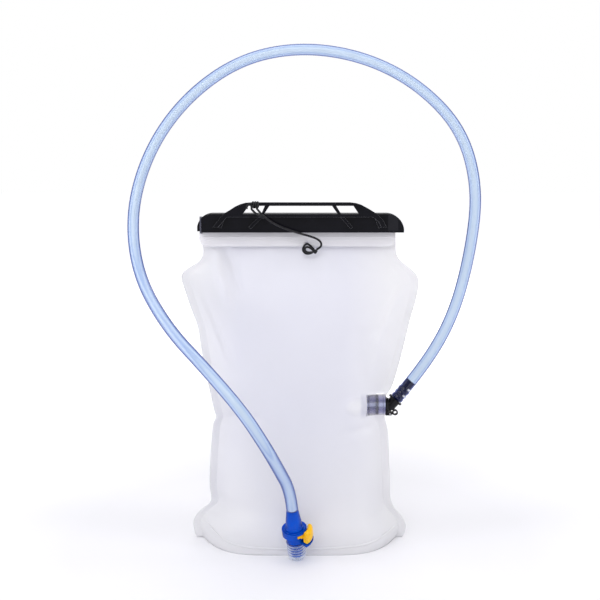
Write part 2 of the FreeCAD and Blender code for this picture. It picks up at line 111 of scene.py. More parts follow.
def make_world(shown, low, high):
    """A white surround where it is seen; as a light, it grows from low, at the horizon, to high, overhead."""
    world = bpy.data.worlds.new("studio")
    world.use_nodes = True
    tree = world.node_tree
    light = tree.nodes["Background"]
    light.inputs["Color"].default_value = (1.0, 1.0, 1.0, 1.0)
    coordinates = tree.nodes.new("ShaderNodeTexCoord")
    direction = tree.nodes.new("ShaderNodeSeparateXYZ")
    tree.links.new(coordinates.outputs["Generated"], direction.inputs["Vector"])
    rise = tree.nodes.new("ShaderNodeMapRange")
    rise.inputs["From Min"].default_value = 0.1
    rise.inputs["From Max"].default_value = 0.9
    rise.inputs["To Min"].default_value = low
    rise.inputs["To Max"].default_value = high
    tree.links.new(direction.outputs["Z"], rise.inputs["Value"])
    tree.links.new(rise.outputs["Result"], light.inputs["Strength"])
    backdrop = tree.nodes.new("ShaderNodeBackground")
    backdrop.inputs["Color"].default_value = (1.0, 1.0, 1.0, 1.0)
    backdrop.inputs["Strength"].default_value = shown
    path = tree.nodes.new("ShaderNodeLightPath")
    seen = tree.nodes.new("ShaderNodeMath")
    seen.operation = "MAXIMUM"
    tree.links.new(path.outputs["Is Camera Ray"], seen.inputs[0])
    tree.links.new(path.outputs["Is Transmission Ray"], seen.inputs[1])
    mix = tree.nodes.new("ShaderNodeMixShader")
    tree.links.new(seen.outputs["Value"], mix.inputs["Fac"])
    tree.links.new(light.outputs["Background"], mix.inputs[1])
    tree.links.new(backdrop.outputs["Background"], mix.inputs[2])
    tree.links.new(mix.outputs["Shader"], tree.nodes["World Output"].inputs["Surface"])
    bpy.context.scene.world = world
    bpy.context.scene.view_settings.view_transform = "Standard"


# ---- node materials ----


def shader_of(material):
    return material.node_tree.nodes["Principled BSDF"]


def new_material(name, colour, roughness, **sockets):
    """A Principled material; sockets are named with underscores for spaces."""
    material = bpy.data.materials.new(name)
    material.use_nodes = True
    shader = shader_of(material)
    shader.inputs["Base Color"].default_value = (*colour, 1.0)
    shader.inputs["Roughness"].default_value = roughness
    for socket, value in sockets.items():
        shader.inputs[socket.replace("_", " ")].default_value = value
    return material


def add_node(material, kind, **settings):
    node = material.node_tree.nodes.new(kind)
    for key, value in settings.items():
        setattr(node, key, value)
    return node


def noise_texture(material, scale, detail=3.0):
    """Noise over the object's own coordinates, in metres."""
    coordinates = add_node(material, "ShaderNodeTexCoord")
    texture = add_node(material, "ShaderNodeTexNoise")
    texture.inputs["Scale"].default_value = scale
    texture.inputs["Detail"].default_value = detail
    material.node_tree.links.new(coordinates.outputs["Object"], texture.inputs["Vector"])
    return texture


def vary_colour(material, texture, low, high):
    """Blends between two colours by a texture."""
    links = material.node_tree.links
    ramp = add_node(material, "ShaderNodeValToRGB")
    ramp.color_ramp.elements[0].position = 0.35
    ramp.color_ramp.elements[1].position = 0.65
    ramp.color_ramp.elements[0].color = (*low, 1.0)
    ramp.color_ramp.elements[1].color = (*high, 1.0)
    links.new(texture.outputs["Fac"], ramp.inputs["Fac"])
    links.new(ramp.outputs["Color"], shader_of(material).inputs["Base Color"])


def span(material, value, low, high, start=0.0, end=1.0, **settings):
    """Turns a value into start at low and end at high."""
    reach = add_node(material, "ShaderNodeMapRange", **settings)
    reach.inputs["From Min"].default_value = low
    reach.inputs["From Max"].default_value = high
    reach.inputs["To Min"].default_value = start
    reach.inputs["To Max"].default_value = end
    material.node_tree.links.new(value, reach.inputs["Value"])
    return reach.outputs["Result"]


def noise_between(material, texture, low, high):
    """A value that a noise texture moves between low and high."""
    return span(material, texture.outputs["Fac"], 0.35, 0.65, low, high)


def vary_socket(material, texture, socket, low, high):
    """Drives a plain number of the shader by a texture."""
    value = noise_between(material, texture, low, high)
    material.node_tree.links.new(value, shader_of(material).inputs[socket])


def from_centre(material, centre, half):
    """How far a place is from centre, as a share of half in each direction."""
    links = material.node_tree.links
    coordinates = add_node(material, "ShaderNodeTexCoord")
    away = add_node(material, "ShaderNodeVectorMath", operation="SUBTRACT")
    away.inputs[1].default_value = centre
    links.new(coordinates.outputs["Object"], away.inputs[0])
    share = add_node(material, "ShaderNodeVectorMath", operation="DIVIDE")
    share.inputs[1].default_value = half
    links.new(away.outputs["Vector"], share.inputs[0])
    return share.outputs["Vector"]


def box_mask(material, centre, half, soft, inside, outside):
    """A value that is inside within a box seen from the front, and outside beyond it.

    soft is the share of the box that its edge fades over.
    """
    links = material.node_tree.links
    size = add_node(material, "ShaderNodeVectorMath", operation="ABSOLUTE")
    links.new(from_centre(material, centre, half), size.inputs[0])
    parts = add_node(material, "ShaderNodeSeparateXYZ")
    links.new(size.outputs["Vector"], parts.inputs["Vector"])
    across = add_node(material, "ShaderNodeMath", operation="MAXIMUM")
    links.new(parts.outputs["X"], across.inputs[0])
    links.new(parts.outputs["Z"], across.inputs[1])
    return span(material, across.outputs["Value"], 1.0 - soft, 1.0 + soft, inside, outside)


def round_mask(material, centre, half, inside, outside):
    """A value that goes smoothly from inside, round centre, to outside, at the ellipsoid's surface."""
    length = add_node(material, "ShaderNodeVectorMath", operation="LENGTH")
    material.node_tree.links.new(from_centre(material, centre, half), length.inputs[0])
    return span(material, length.outputs["Value"], 0.35, 1.0, inside, outside,
                interpolation_type="SMOOTHSTEP")


def tint_by(material, factor, colour):
    """Mixes the shader's present colour towards another one, plain or a node's output, by a factor."""
    links = material.node_tree.links
    base = shader_of(material).inputs["Base Color"]
    tint = add_node(material, "ShaderNodeMix", data_type="RGBA")
    links.new(factor, tint.inputs["Factor"])
    links.new(base.links[0].from_socket, tint.inputs["A"])
    if isinstance(colour, tuple):
        tint.inputs["B"].default_value = (*colour, 1.0)
    else:
        links.new(colour, tint.inputs["B"])
    links.new(tint.outputs["Result"], base)


def multiply(material, *values):
    """The product of several node outputs."""
    links = material.node_tree.links
    product = values[0]
    for value in values[1:]:
        step = add_node(material, "ShaderNodeMath", operation="MULTIPLY")
        links.new(product, step.inputs[0])
        links.new(value, step.inputs[1])
        product = step.outputs["Value"]
    return product


def add_bump(material, texture, strength, distance, edge=0.0):
    """Fine relief; edge is the radius that the shader rounds sharp edges to."""
    links = material.node_tree.links
    bump = add_node(material, "ShaderNodeBump")
    if edge:
        rounding = add_node(material, "ShaderNodeBevel", samples=6)
        rounding.inputs["Radius"].default_value = edge
        links.new(rounding.outputs["Normal"], bump.inputs["Normal"])
    bump.inputs["Strength"].default_value = strength
    bump.inputs["Distance"].default_value = distance
    links.new(texture.outputs["Fac"], bump.inputs["Height"])
    links.new(bump.outputs["Normal"], shader_of(material).inputs["Normal"])


def moulded_plastic(name, colour, lighter, roughness, **sockets):
    """Plastic or metal with a fine grain and softened edges."""
    material = new_material(name, colour, roughness, **sockets)
    vary_colour(material, noise_texture(material, 60.0), colour, lighter)
    vary_socket(material, noise_texture(material, 240.0), "Roughness", roughness - 0.03, roughness + 0.05)
    add_bump(material, noise_texture(material, 1500.0, 2.0), 0.05, 0.00005, edge=0.0004)
    return material


def film_material(name, colour, lighter, painted_side_light, alpha, roughness):
    """Frosted film: see-through, with painted light that pales its sides and foot and whitens it over the
    nozzle behind it, and almost clear over the port.
    """
    material = new_material(name, colour, roughness, IOR=1.45, Specular_IOR_Level=0.3)
    vary_colour(material, noise_texture(material, 14.0, 2.0), colour, lighter)
    # Painted light: outside this box, towards its sides and foot, the film is tinted paler.
    middle = box_mask(material, mm(-6, 0, 270), mm(64, ALL_DEPTHS, 215), 0.3, 0.0, 1.0)
    tint_by(material, middle, painted_side_light)
    # Painted light: the film is whiter where the clear nozzle lies behind it.
    nozzle_light = round_mask(material, mm(49.0, 0, FILM_PORT_Z), mm(12.0, ALL_DEPTHS, 8.0), 0.55, 0.0)
    tint_by(material, nozzle_light, PAINTED_NOZZLE_LIGHT)
    rim = box_mask(material, mm(55.2, 0, FILM_PORT_Z), mm(2.8, ALL_DEPTHS, 9.0), 0.3, 0.7, 0.0)
    tint_by(material, rim, NOZZLE_RIM)
    add_bump(material, noise_texture(material, 900.0, 3.0), 0.05, 0.0001)
    cloud = noise_between(material, noise_texture(material, 9.0, 2.0), alpha - 0.02, alpha + 0.02)
    at_socket = box_mask(material, mm(65.8, 0, FILM_PORT_Z), mm(8.6, ALL_DEPTHS, 9.1), 0.08, 0.05, 1.0)
    at_nozzle = round_mask(material, mm(50.0, 0, FILM_PORT_Z), mm(14.0, ALL_DEPTHS, 10.0), 0.68, 1.0)
    through = multiply(material, cloud, at_socket, at_nozzle)
    material.node_tree.links.new(through, shader_of(material).inputs["Alpha"])
    return material


def mouth_material():
    """The mouth's stiffer film, in shade inside the slide bar's open end."""
    material = film_material("mouth_film", (0.82, 0.81, 0.86), lighter=(0.84, 0.83, 0.87),
                             painted_side_light=(0.85, 0.84, 0.88), alpha=0.62, roughness=0.3)
    open_end = box_mask(material, mm(-86, 0, 279), mm(3.2, ALL_DEPTHS, 9.0), 0.05, 1.0, 0.0)
    tint_by(material, open_end, (0.10, 0.10, 0.14))
    return material


def clear_material(name, colour, roughness, grain, **sockets):
    """A see-through moulding."""
    material = new_material(name, colour, roughness, **sockets)
    vary_socket(material, noise_texture(material, grain, 2.0), "Roughness", roughness, roughness + 0.06)
    add_bump(material, noise_texture(material, grain * 4.0, 2.0), 0.04, 0.0001)
    return material


def colour_ramp(material, value, stops):
    """Colours along a value: stops are (value, colour)."""
    ramp = add_node(material, "ShaderNodeValToRGB")
    elements = ramp.color_ramp.elements
    while len(elements) < len(stops):
        elements.new(0.5)
    for element, (place, colour) in zip(elements, stops):
        element.position = place
        element.color = (*colour, 1.0)
    material.node_tree.links.new(value, ramp.inputs["Fac"])
    return ramp.outputs["Color"]


def grey_ramp(material, value, stops):
    return colour_ramp(material, value, [(place, (shade, shade, shade)) for place, shade in stops])


def dot_with(material, vector, direction):
    """How far a vector output points along a fixed direction."""
    along = add_node(material, "ShaderNodeVectorMath", operation="DOT_PRODUCT")
    along.inputs[1].default_value = direction
    material.node_tree.links.new(vector, along.inputs[0])
    return along.outputs["Value"]


def turned_away(material):
    """0 where the surface faces the eye, 1 at its outline."""
    weight = add_node(material, "ShaderNodeLayerWeight")
    weight.inputs["Blend"].default_value = 0.5
    return weight.outputs["Facing"]


def hose_material():
    """See-through blue hose with painted shade at its edges; navy where the ringed barb fills it, with
    painted light and painted highlights in the gaps between its rings.
    """
    material = new_material("blue_hose", (0.32, 0.5, 0.89), 0.06, IOR=1.4, Specular_IOR_Level=0.6)
    links = material.node_tree.links
    shader = shader_of(material)
    facing = turned_away(material)
    coordinates = add_node(material, "ShaderNodeTexCoord")
    reach = add_node(material, "ShaderNodeVectorMath", operation="DISTANCE")
    reach.inputs[1].default_value = HOSE_START
    links.new(coordinates.outputs["Object"], reach.inputs[0])
    # Over the barb: navy, with painted light in the gaps between its rings and painted highlights in them.
    links.new(colour_ramp(material, facing, [
        (0.0, (0.004, 0.006, 0.03)), (0.35, (0.008, 0.014, 0.08)), (0.65, (0.10, 0.13, 0.36)),
        (0.9, (0.3, 0.36, 0.62))]), shader.inputs["Base Color"])
    painted_gap_light = grey_ramp(material, span(material, reach.outputs["Value"], 0.0, BARB_LENGTH), [
        (0.13, 0.0), (0.175, 1.0), (0.22, 0.0), (0.33, 0.0), (0.38, 1.0), (0.43, 0.0), (0.6, 0.0),
        (0.66, 1.0), (0.72, 0.0)])
    surface = add_node(material, "ShaderNodeNewGeometry")
    glint = span(material, dot_with(material, surface.outputs["Normal"], (0.56, -0.8, -0.2)), 0.9, 0.97)
    tint_by(material, multiply(material, painted_gap_light, span(material, facing, 0.3, 0.6)), (0.24, 0.32, 0.66))
    tint_by(material, multiply(material, painted_gap_light, glint), (0.95, 0.97, 1.0))
    # Past the barb: pale, with a painted darker line along each side and painted shade at its outline.
    past_barb = span(material, reach.outputs["Value"], 0.98 * BARB_LENGTH, 1.02 * BARB_LENGTH)
    free = colour_ramp(material, facing, [
        (0.0, (0.65, 0.78, 0.96)), (0.1, (0.58, 0.72, 0.94)), (0.17, (0.41, 0.55, 0.87)),
        (0.25, (0.58, 0.71, 0.93)), (0.38, (0.38, 0.50, 0.81)), (0.54, (0.07, 0.11, 0.36))])
    tint_by(material, past_barb, free)
    # Faces seen from outside let some light through; those seen from behind are opaque.
    body = add_node(material, "ShaderNodeMath", operation="MAXIMUM")
    links.new(grey_ramp(material, facing, [(0.1, 0.8), (0.6, 0.95)]), body.inputs[0])
    links.new(surface.outputs["Backfacing"], body.inputs[1])
    alpha = add_node(material, "ShaderNodeMix", data_type="FLOAT")
    links.new(past_barb, alpha.inputs["Factor"])
    alpha.inputs["A"].default_value = 0.93
    links.new(body.outputs["Value"], alpha.inputs["B"])
    links.new(alpha.outputs["Result"], shader.inputs["Alpha"])
    add_bump(material, noise_texture(material, 60.0, 2.0), 0.03, 0.0002)
    return material


def slider_material():
    """Gloss black, with a lighter patch by its closed end."""
    material = moulded_plastic("slider_black", BLACK, LIGHTER_BLACK, 0.2, Specular_IOR_Level=0.12)
    patch = box_mask(material, mm(78.6, 0, 280), mm(4.2, ALL_DEPTHS, 7.0), 0.06, 1.0, 0.0)
    tint_by(material, patch, (0.014, 0.014, 0.018))
    return material


def painted_edge_highlight_black():
    """Gloss black with painted highlights along its moulded edges."""
    material = moulded_plastic("handle_black", BLACK, LIGHTER_BLACK, 0.2, Specular_IOR_Level=0.12)
    links = material.node_tree.links
    rounding = add_node(material, "ShaderNodeBevel", samples=6)
    rounding.inputs["Radius"].default_value = 0.0005
    flat = add_node(material, "ShaderNodeNewGeometry")
    same = add_node(material, "ShaderNodeVectorMath", operation="DOT_PRODUCT")
    links.new(rounding.outputs["Normal"], same.inputs[0])
    links.new(flat.outputs["Normal"], same.inputs[1])
    # Painted highlight: lighter grey where the rounded edge's normal leaves the flat face's.
    tint_by(material, span(material, same.outputs["Value"], 0.97, 0.75), (0.16, 0.16, 0.18))
    return material


def see_through(name, stops, alpha_low, alpha_high, roughness, grain, **sockets):
    """A clear moulding: its colour follows stops, and it is less clear where it turns away."""
    material = clear_material(name, stops[0][1], roughness, grain, **sockets)
    links = material.node_tree.links
    shader = shader_of(material)
    facing = turned_away(material)
    links.new(colour_ramp(material, facing, stops), shader.inputs["Base Color"])
    links.new(grey_ramp(material, facing, [(0.15, alpha_low), (0.7, alpha_high)]), shader.inputs["Alpha"])
    return material


def shade_by(material, shade):
    """Darkens the shader's colour by a grey output."""
    links = material.node_tree.links
    base = shader_of(material).inputs["Base Color"]
    mix = add_node(material, "ShaderNodeMix", data_type="RGBA", blend_type="MULTIPLY")
    mix.inputs["Factor"].default_value = 1.0
    links.new(base.links[0].from_socket, mix.inputs["A"])
    links.new(shade, mix.inputs["B"])
    links.new(mix.outputs["Result"], base)


def socket_material():
    """Slate-lilac see-through plastic: a painted highlight stripe, painted shade on its shoulders, painted
    paler edges and the seal's line.
    """
    material = see_through("tinted_plastic", [
        (0.0, (0.46, 0.50, 0.74)), (0.008, (0.42, 0.45, 0.68)), (0.028, (0.13, 0.14, 0.30)),
        (0.09, (0.14, 0.14, 0.32)), (0.3, (0.34, 0.34, 0.54)), (0.55, (0.58, 0.57, 0.70)),
        (0.8, (0.85, 0.84, 0.92))], alpha_low=0.8, alpha_high=0.95, roughness=0.08, grain=50.0,
        IOR=1.5, Specular_IOR_Level=0.5)
    coordinates = add_node(material, "ShaderNodeTexCoord")
    x = dot_with(material, coordinates.outputs["Object"], (1.0, 0.0, 0.0))
    shade_by(material, grey_ramp(material, span(material, x, SOCKET_LEFT, SOCKET_RIGHT), [
        (0.02, 0.9), (0.07, 0.42), (0.13, 0.6), (0.2, 0.85), (0.4, 0.72), (0.48, 0.4), (0.53, 0.2),
        (0.6, 0.24), (0.67, 0.9), (0.72, 1.0), (0.84, 0.95), (0.89, 0.6), (0.94, 1.0)]))
    return material


def mouthpiece_material():
    """Clear silicone, with the core's blue ribs showing through it."""
    material = see_through("clear_silicone", [(0.0, (0.72, 0.82, 1.0)), (0.6, (0.8, 0.86, 0.97))],
                           alpha_low=0.12, alpha_high=0.55, roughness=0.06, grain=80.0,
                           IOR=1.41, Specular_IOR_Level=0.8)
    links = material.node_tree.links
    shader = shader_of(material)
    coordinates = add_node(material, "ShaderNodeTexCoord")
    height = dot_with(material, coordinates.outputs["Object"], VALVE_AXIS)
    foot = VALVE_TIP.dot(VALVE_AXIS)
    wave = add_node(material, "ShaderNodeMath", operation="SINE")
    links.new(span(material, height, foot, foot + RIB_PITCH / (2 * math.pi), clamp=False), wave.inputs[0])
    ribs = multiply(material, span(material, wave.outputs["Value"], 0.0, 0.6),
                    span(material, height, foot + RIBS_FOOT, foot + RIBS_FOOT + 0.001))
    tint_by(material, ribs, (0.01, 0.07, 0.42))
    strength = multiply(material, ribs, span(material, turned_away(material), 1.3, 0.0))
    alpha = add_node(material, "ShaderNodeMath", operation="MAXIMUM")
    links.new(shader.inputs["Alpha"].links[0].from_socket, alpha.inputs[0])
    links.new(strength, alpha.inputs[1])
    links.new(alpha.outputs["Value"], shader.inputs["Alpha"])
    return material


def blue_material():
    """Gloss blue, with painted shade that darkens it towards its outline."""
    material = moulded_plastic("blue_plastic", (0.0, 0.066, 0.52), (0.0, 0.085, 0.62), 0.14,
                               Specular_IOR_Level=0.16)
    # Painted shade: darker where the surface turns from the eye.
    shade_by(material, grey_ramp(material, turned_away(material), [(0.3, 1.0), (0.85, 0.45)]))
    return material


def cord_material():
    """Braided black cord: fine diagonal strands."""
    material = new_material("black_cord", (0.01, 0.01, 0.012), 0.5, Specular_IOR_Level=0.3)
    links = material.node_tree.links
    vary_colour(material, noise_texture(material, 700.0), (0.004, 0.004, 0.006), (0.012, 0.012, 0.015))
    coordinates = add_node(material, "ShaderNodeTexCoord")
    wave = add_node(material, "ShaderNodeTexWave", bands_direction="DIAGONAL")
    wave.inputs["Scale"].default_value = 500.0
    links.new(coordinates.outputs["Object"], wave.inputs["Vector"])
    add_bump(material, wave, 0.5, 0.0002)
    return material


MATERIALS = {
    "bag_film": film_material("frosted_film", (0.845, 0.845, 0.925), lighter=(0.86, 0.86, 0.935),
                              painted_side_light=(0.93, 0.925, 0.955), alpha=0.68, roughness=0.36),
    "mouth_film": mouth_material(),
    "black_plastic": moulded_plastic("black_plastic", BLACK, LIGHTER_BLACK, 0.2, Specular_IOR_Level=0.2),
    "blue_plastic": blue_material(),
    "yellow_plastic": moulded_plastic("yellow_plastic", (0.96, 0.50, 0.004), (1.0, 0.60, 0.01), 0.3,
                                      Specular_IOR_Level=0.25),
    "hose_blue": hose_material(),
    # Painted light: the clear moulding's emission makes it glow though it is no lamp.
    "clear_plastic": clear_material("clear_plastic", (0.95, 0.95, 0.98), roughness=0.1, grain=50.0,
                                    IOR=1.45, Alpha=0.6, Emission_Color=(1.0, 1.0, 1.0, 1.0),
                                    Emission_Strength=0.22),
    "tinted_plastic": socket_material(),
    "clear_silicone": mouthpiece_material(),
    "seal_rubber": moulded_plastic("seal_rubber", (0.012, 0.012, 0.014), (0.02, 0.02, 0.022), 0.6),
    "spring_steel": moulded_plastic("spring_steel", (0.5, 0.5, 0.52), (0.6, 0.6, 0.62), 0.3, Metallic=1.0),
    "black_cord": cord_material(),
}
NODE_MATERIALS = {
    "slider_bar": slider_material(),
    "hanging_handle": painted_edge_highlight_black(),
    "flow_core": moulded_plastic("core_blue", (0.1, 0.26, 0.78), (0.13, 0.3, 0.84), 0.2),
}


def finish_piece(piece, body, slot, *cad_nodes):
    """Gives a piece its finish, links it to its body, if one carries it whole, and hides its CAD nodes."""
    piece.data.materials.append(MATERIALS[slot])
    piece.data.shade_smooth()
    if body:
        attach(piece, body)
    if cad_nodes:
        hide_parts(*cad_nodes)


# ---- meshes ----


def mesh_object(name, points, faces):
    mesh = bpy.data.meshes.new(name)
    mesh.from_pydata([tuple(p) for p in points], [], faces)
    mesh.update()
    piece = bpy.data.objects.new(name, mesh)
    bpy.context.scene.collection.objects.link(piece)
    return piece


INWARDS = -1.0
BOTH_WAYS = 0.0


def thicken(piece, thickness, growth):
    """Turns a sheet of faces into film of a real thickness."""
    shell = piece.modifiers.new("film", "SOLIDIFY")
    shell.thickness = thickness
    shell.offset = growth
    depsgraph = bpy.context.evaluated_depsgraph_get()
    shaped = bpy.data.meshes.new_from_object(piece.evaluated_get(depsgraph))
    piece.modifiers.clear()
    piece.data = shaped


def nurbs_line(name, route, steps):
    """Points along the smooth NURBS line that has the route as its control points."""
    curve = bpy.data.curves.new(name + "_route", "CURVE")
    curve.dimensions = "3D"
    curve.resolution_u = steps
    spline = curve.splines.new("NURBS")
    spline.points.add(len(route) - 1)
    for point, place in zip(spline.points, route):
        point.co = (*place, 1.0)
    spline.order_u = 3
    spline.use_endpoint_u = True
    holder = bpy.data.objects.new(name + "_route", curve)
    bpy.context.scene.collection.objects.link(holder)
    bpy.context.view_layer.update()
    line = bpy.data.meshes.new_from_object(holder)
    points = [v.co.copy() for v in line.vertices]
    bpy.data.objects.remove(holder)
    bpy.data.meshes.remove(line)
    return points


def frames_along(points):
    """A pair of side directions at each point of a line, turning as little as they can."""
    tangents = []
    for i in range(len(points)):
        before = points[max(i - 1, 0)]
        after = points[min(i + 1, len(points) - 1)]
        tangents.append((after - before).normalized())
    side = tangents[0].orthogonal().normalized()
    frames = []
    for tangent in tangents:
        side = (side - tangent * side.dot(tangent)).normalized()
        frames.append((side.copy(), tangent.cross(side)))
    return frames


def ring_faces(rows, columns, closed_rows=False):
    """Quads of a surface whose rows close on themselves round the columns."""
    faces = []
    for i in range(rows if closed_rows else rows - 1):
        for j in range(columns):
            a = i * columns + j
            b = i * columns + (j + 1) % columns
            c = ((i + 1) % rows) * columns + (j + 1) % columns
            d = ((i + 1) % rows) * columns + j
            faces.append((a, b, c, d))
    return faces


def solid_tube(name, line, radius, columns, ripple=None):
    """A round rod along a line, closed at both ends; ripple(i, turn) scales the radius."""
    points = []
    for i, (place, (side, up)) in enumerate(zip(line, frames_along(line))):
        for j in range(columns):
            turn = 2 * math.pi * j / columns
            r = radius * (ripple(i, turn) if ripple else 1.0)
            points.append(place + side * (r * math.cos(turn)) + up * (r * math.sin(turn)))
    faces = ring_faces(len(line), columns)
    faces.append(tuple(range(columns - 1, -1, -1)))
    last = (len(line) - 1) * columns
    faces.append(tuple(last + j for j in range(columns)))
    return mesh_object(name, points, faces)


def hollow_tube(name, line, outer, bore, columns, swell):
    """A hose with its bore, as one closed skin; swell(distance) is added to the outside."""
    frames = frames_along(line)
    travelled = [0.0]
    for before, after in zip(line, line[1:]):
        travelled.append(travelled[-1] + (after - before).length)
    section = [(i, outer + swell(travelled[i])) for i in range(len(line))]
    section += [(i, bore) for i in reversed(range(len(line)))]
    points = []
    for i, radius in section:
        side, up = frames[i]
        for j in range(columns):
            turn = 2 * math.pi * j / columns
            points.append(line[i] + side * (radius * math.cos(turn)) + up * (radius * math.sin(turn)))
    return mesh_object(name, points, ring_faces(len(section), columns, closed_rows=True))


make_camera()

# ---- drinking hose ----

HOSE_RADIUS = 5.0 * MM
HOSE_BORE = 3.5 * MM
HOSE_ROUTE = [
    mm(83.85, 0, 126.0),
    mm(106, 0, 152),
    mm(132.5, 7, 196),
    mm(148, 17, 251),
    mm(154.5, 25, 307),
    mm(140.5, 33, 358),
    mm(103, 41, 397),
    mm(55, 45, 421),
    mm(0, 46, 429),
    mm(-53, 43, 418),
    mm(-99.5, 39, 385),
    mm(-131.5, 31, 340),
    mm(-146.5, 19, 287),
    mm(-138.5, -6, 236),
    mm(-109.5, -47, 197.5),
    mm(-73, -82, 168),
    mm(-45, -97, 139),
    mm(-27, -95, 110),
    mm(-17.5, -84, 89),
    mm(-8.0, -71.4, 66.7),
    mm(-6.4, -65.6, 48.7),
]

BARB_RINGS = (1.6, 5.8, 10.0)         # distance of the elbow's barb rings from the hose's end
RING_WIDTH = 1.1
RING_SWELL = 0.6 * MM


def stretch_over_barb(distance):
    """The hose swells where a ring of the barb presses it out."""
    return RING_SWELL * sum(math.exp(-((distance / MM - ring) / RING_WIDTH) ** 2) for ring in BARB_RINGS)


def end_fill(line, length, step):
    """Adds points near the line's start, so that the short swellings are smooth."""
    filled = [line[0]]
    travelled = 0.0
    for before, after in zip(line, line[1:]):
        run = (after - before).length
        parts = max(1, round(run / step)) if travelled < length else 1
        filled += [before.lerp(after, k / parts) for k in range(1, parts + 1)]
        travelled += run
    return filled


hose_line = nurbs_line("hose", HOSE_ROUTE, 24)
hose_rings = end_fill(hose_line, length=22 * MM, step=0.4 * MM)
hose = hollow_tube("drinking_hose_skin", hose_rings, HOSE_RADIUS, HOSE_BORE, 40, stretch_over_barb)
finish_piece(hose, "hose_line", "hose_blue", "drinking_hose")

# ---- slider's tether ----

CORD_RADIUS = 0.9 * MM
TETHER_ROUTE = [
    mm(-36.4, -13.0, 292.4),
    mm(-33.6, -13.9, 289.0),
    mm(-29.6, -14.2, 284.8),
    mm(-21.5, -14.1, 279.2),
    mm(-11, -13.9, 274.6),
    mm(0, -13.2, 271.2),
    mm(8.6, -12.6, 268.8),
    mm(14.0, -12.0, 266.8),
    mm(17.4, -11.5, 264.2),
    mm(18.2, -11.0, 261.2),
    mm(16.6, -10.5, 258.8),
    mm(14.0, -10.1, 257.4),
]
tether_line = nurbs_line("tether", TETHER_ROUTE, 16)


def braid(i, turn):
    """The small bumps of a braid's crossing strands."""
    return 1.0 + 0.07 * math.sin(4 * turn + i * 0.9) * math.sin(4 * turn - i * 0.9)


def rail_wraps():
    """Three tight turns of the cord round the handle's square rail."""
    start = mm(-40.9, -8.5, 294.9)
    pitch = 1.95 * MM
    half = 2.2 * MM
    steps = 24
    turns = 3
    line = []
    for i in range(turns * steps + 1):
        turn = 2 * math.pi * i / steps
        across = pitch * i / steps
        reach = half / (math.cos(turn) ** 4 + math.sin(turn) ** 4) ** 0.25
        line.append(start + Vector((across, -reach * math.cos(turn), -reach * math.sin(turn))))
    return line


def knot_line(centre, size):
    """A small overhand knot, drawn tight."""
    steps = 60
    line = []
    for i in range(steps + 1):
        t = 2 * math.pi * i / steps
        line.append(centre + size * Vector((math.sin(t) + 2 * math.sin(2 * t), -math.sin(3 * t),
                                            math.cos(t) - 2 * math.cos(2 * t))))
    return line


def cord_piece(name, *lines):
    """One piece of cord mesh from several lines."""
    points = []
    faces = []
    for line in lines:
        part = solid_tube(name, line, CORD_RADIUS, 12, braid)
        base = len(points)
        points += [v.co.copy() for v in part.data.vertices]
        faces += [tuple(base + k for k in face.vertices) for face in part.data.polygons]
        bpy.data.objects.remove(part)
    return mesh_object(name, points, faces)


HITCH_TAIL = [mm(-40.9, -10.85, 295.6), mm(-42.2, -11.4, 296.4), mm(-43.9, -11.5, 295.2),
              mm(-44.9, -11.3, 293.2), mm(-44.6, -11.2, 291.6)]
HITCH_LEAD = [mm(-35.05, -10.85, 295.5), mm(-34.9, -11.8, 294.0), mm(-35.6, -12.7, 293.0),
              mm(-36.4, -13.0, 292.4)]
HITCH_STRAND = [mm(-39.5, -10.9, 294.2), mm(-41.2, -11.9, 292.2), mm(-39.4, -12.6, 290.2),
                mm(-37.0, -13.0, 288.0), mm(-33.6, -13.6, 285.9), mm(-30.0, -13.7, 284.0)]
LOOP = [mm(11.8, -9.7, 257.2), mm(10.1, -9.0, 259.4), mm(8.0, -6.6, 260.9), mm(5.9, -3.4, 261.8),
        mm(4.1, -6.4, 260.8), mm(2.7, -8.8, 258.9), mm(2.4, -9.4, 256.9), mm(3.4, -9.8, 254.9),
        mm(5.5, -10.1, 253.7), mm(8.0, -10.2, 253.8), mm(10.5, -10.2, 254.8), mm(12.0, -10.0, 255.8)]
LOOP_INNER = [mm(11.4, -10.6, 256.6), mm(9.6, -10.8, 258.2), mm(7.6, -10.2, 259.3), mm(5.4, -9.8, 259.5),
              mm(4.0, -10.0, 258.2), mm(4.2, -10.6, 256.6), mm(5.6, -11.2, 255.4), mm(7.6, -11.5, 255.0),
              mm(9.6, -11.4, 255.2), mm(11.2, -11.0, 255.4)]


wraps = cord_piece("tether_wraps", nurbs_line("tail", HITCH_TAIL, 8), rail_wraps(),
                   nurbs_line("lead", HITCH_LEAD, 8), nurbs_line("second_strand", HITCH_STRAND, 8))
finish_piece(wraps, "slider", "black_cord", "tether_hitch")

strand = solid_tube("tether_strand", tether_line, CORD_RADIUS, 14, braid)
finish_piece(strand, None, "black_cord", "tether_cord")
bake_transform(strand)

loop = cord_piece("tether_loop_cord", nurbs_line("loop", LOOP, 8), nurbs_line("loop_inner", LOOP_INNER, 8))
finish_piece(loop, "bag", "black_cord", "tether_loop")
knot = cord_piece("tether_knot_cord", knot_line(mm(12.9, -9.9, 255.8), 0.4 * MM))
finish_piece(knot, "bag", "black_cord", "tether_knot")

# ---- the bag's outline ----

# Millimetres, but for the films' thicknesses, which are in metres.
WALL_TOP = 268.0
WELD_WIDTH = 6.5
WALL_GAP = 0.3                         # from the middle plane to each wall where they are welded
WALL_FILM = 0.5 * MM
BASE_FILM = 0.4 * MM
MOUTH_FILM = 0.7 * MM
SEAL_STEP = 0.7                        # how far the wall steps out below the base's seal

